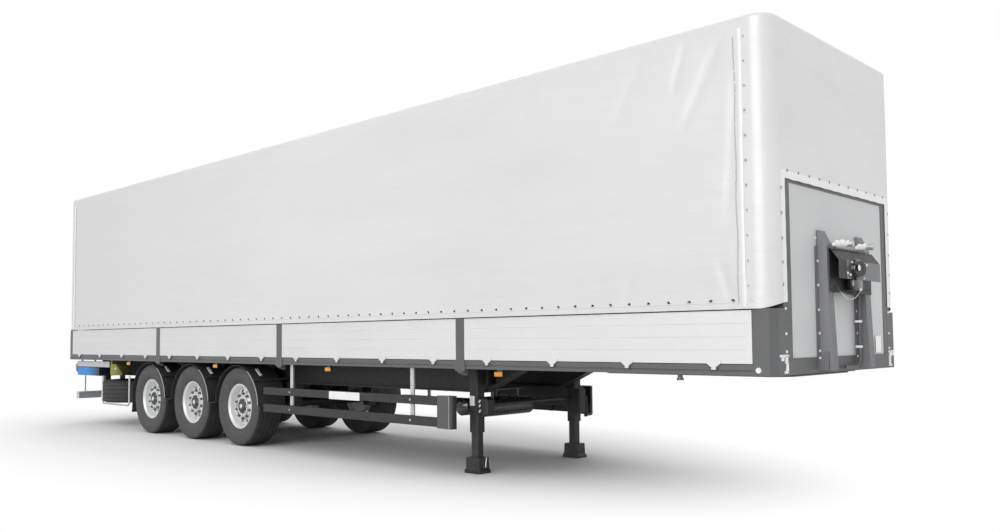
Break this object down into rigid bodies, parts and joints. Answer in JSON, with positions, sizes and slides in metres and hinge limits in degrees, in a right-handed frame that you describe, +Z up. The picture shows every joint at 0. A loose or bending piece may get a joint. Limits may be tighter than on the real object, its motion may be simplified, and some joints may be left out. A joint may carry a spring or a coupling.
{
  "type": "semi trailer",
  "caption": "Long three axle drop side semi trailer with a laced tarpaulin cover, parked on its landing legs.",
  "frame": {"origin": "on the ground in the middle of the overall box", "axes": "+X towards the front, +Y to the trailer's left, +Z up"},
  "size_m": [13.825, 2.55, 4],
  "materials": {
    "chassis_paint": "satin dark chassis paint",
    "guard_paint": "satin dark grey paint",
    "frame_paint": "satin mid grey paint",
    "panel_aluminium": "pale anodised boards",
    "wall_paint": "pale grey paint",
    "cover_cloth": "coated tarpaulin",
    "floor_wood": "coated plywood",
    "lath_wood": "planed boards",
    "tyre_rubber": "matt black rubber",
    "rim_paint": "silver paint",
    "galvanised": "galvanised",
    "rubber": "moulded rubber",
    "amber_lens": "amber lens",
    "red_lens": "red lens",
    "blue_plastic": "moulded box",
    "chock_plastic": "moulded wedge",
    "tank_paint": "gloss black paint",
    "black_plastic": "moulded plastic",
    "steel": "forged and greased"
  },
  "bodies": {
    "chassis": {"chassis_beams": "chassis_paint", "cross_members": "chassis_paint", "deck_floor": "floor_wood", "side_rail_left": "frame_paint", "side_rail_right": "frame_paint", "stanchions": "frame_paint", "rear_frame": "frame_paint", "bulkhead_frame": "frame_paint", "bulkhead_wall": "wall_paint", "bulkhead_braces": "frame_paint", "service_console": "frame_paint", "air_couplings": "galvanised", "roof_frame": "galvanised", "side_laths": "lath_wood", "cover_sides": "cover_cloth", "cover_front": "cover_cloth", "cover_rear": "cover_cloth", "cover_roof": "cover_cloth", "coupler_plate": "steel", "landing_leg_left": "chassis_paint", "landing_leg_right": "chassis_paint", "landing_shaft": "galvanised", "axles": "chassis_paint", "suspension_arms": "chassis_paint", "air_springs": "rubber", "mudguards": "black_plastic", "side_guard_left": "guard_paint", "side_guard_right": "guard_paint", "marker_lamps": "amber_lens", "air_tanks": "tank_paint", "spare_tyre": "tyre_rubber", "spare_rim": "rim_paint", "spare_carrier": "galvanised", "stowage_box": "blue_plastic", "wheel_chock": "chock_plastic", "rear_underrun": "chassis_paint", "lamp_board": "frame_paint", "tail_lamps": "red_lens"},
    "wheelset_1_left": {"tyre_1_left": "tyre_rubber", "wheel_1_left": "rim_paint"},
    "wheelset_1_right": {"tyre_1_right": "tyre_rubber", "wheel_1_right": "rim_paint"},
    "wheelset_2_left": {"tyre_2_left": "tyre_rubber", "wheel_2_left": "rim_paint"},
    "wheelset_2_right": {"tyre_2_right": "tyre_rubber", "wheel_2_right": "rim_paint"},
    "wheelset_3_left": {"tyre_3_left": "tyre_rubber", "wheel_3_left": "rim_paint"},
    "wheelset_3_right": {"tyre_3_right": "tyre_rubber", "wheel_3_right": "rim_paint"},
    "drop_side_1_left": {"drop_side_1_left": "panel_aluminium"},
    "drop_side_1_right": {"drop_side_1_right": "panel_aluminium"},
    "drop_side_2_left": {"drop_side_2_left": "panel_aluminium"},
    "drop_side_2_right": {"drop_side_2_right": "panel_aluminium"},
    "drop_side_3_left": {"drop_side_3_left": "panel_aluminium"},
    "drop_side_3_right": {"drop_side_3_right": "panel_aluminium"},
    "drop_side_4_left": {"drop_side_4_left": "panel_aluminium"},
    "drop_side_4_right": {"drop_side_4_right": "panel_aluminium"},
    "tailboard": {"tailboard": "panel_aluminium"}
  },
  "joints": [
    {"name": "wheel_spin_1_left", "type": "hinge", "parent": "chassis", "child": "wheelset_1_left", "pos_m": [-1.2425, 1.02, 0.536], "axis": [0, 1, 0], "continuous": true},
    {"name": "wheel_spin_1_right", "type": "hinge", "parent": "chassis", "child": "wheelset_1_right", "pos_m": [-1.2425, -1.02, 0.536], "axis": [0, 1, 0], "continuous": true},
    {"name": "wheel_spin_2_left", "type": "hinge", "parent": "chassis", "child": "wheelset_2_left", "pos_m": [-2.5525, 1.02, 0.536], "axis": [0, 1, 0], "continuous": true},
    {"name": "wheel_spin_2_right", "type": "hinge", "parent": "chassis", "child": "wheelset_2_right", "pos_m": [-2.5525, -1.02, 0.536], "axis": [0, 1, 0], "continuous": true},
    {"name": "wheel_spin_3_left", "type": "hinge", "parent": "chassis", "child": "wheelset_3_left", "pos_m": [-3.8625, 1.02, 0.536], "axis": [0, 1, 0], "continuous": true},
    {"name": "wheel_spin_3_right", "type": "hinge", "parent": "chassis", "child": "wheelset_3_right", "pos_m": [-3.8625, -1.02, 0.536], "axis": [0, 1, 0], "continuous": true},
    {"name": "drop_side_1_left_fold", "type": "hinge", "parent": "chassis", "child": "drop_side_1_left", "pos_m": [-5.17563, 1.266, 1.172], "axis": [-1, 0, 0], "range_deg": [0, 180]},
    {"name": "drop_side_1_right_fold", "type": "hinge", "parent": "chassis", "child": "drop_side_1_right", "pos_m": [-5.17563, -1.266, 1.172], "axis": [1, 0, 0], "range_deg": [0, 180]},
    {"name": "drop_side_2_left_fold", "type": "hinge", "parent": "chassis", "child": "drop_side_2_left", "pos_m": [-1.82688, 1.266, 1.172], "axis": [-1, 0, 0], "range_deg": [0, 180]},
    {"name": "drop_side_2_right_fold", "type": "hinge", "parent": "chassis", "child": "drop_side_2_right", "pos_m": [-1.82688, -1.266, 1.172], "axis": [1, 0, 0], "range_deg": [0, 180]},
    {"name": "drop_side_3_left_fold", "type": "hinge", "parent": "chassis", "child": "drop_side_3_left", "pos_m": [1.52188, 1.266, 1.172], "axis": [-1, 0, 0], "range_deg": [0, 180]},
    {"name": "drop_side_3_right_fold", "type": "hinge", "parent": "chassis", "child": "drop_side_3_right", "pos_m": [1.52188, -1.266, 1.172], "axis": [1, 0, 0], "range_deg": [0, 180]},
    {"name": "drop_side_4_left_fold", "type": "hinge", "parent": "chassis", "child": "drop_side_4_left", "pos_m": [4.87063, 1.266, 1.172], "axis": [-1, 0, 0], "range_deg": [0, 180]},
    {"name": "drop_side_4_right_fold", "type": "hinge", "parent": "chassis", "child": "drop_side_4_right", "pos_m": [4.87063, -1.266, 1.172], "axis": [1, 0, 0], "range_deg": [0, 180]},
    {"name": "tailboard_fold", "type": "hinge", "parent": "chassis", "child": "tailboard", "pos_m": [-6.9035, 0, 1.172], "axis": [0, -1, 0], "range_deg": [0, 180]}
  ]
}
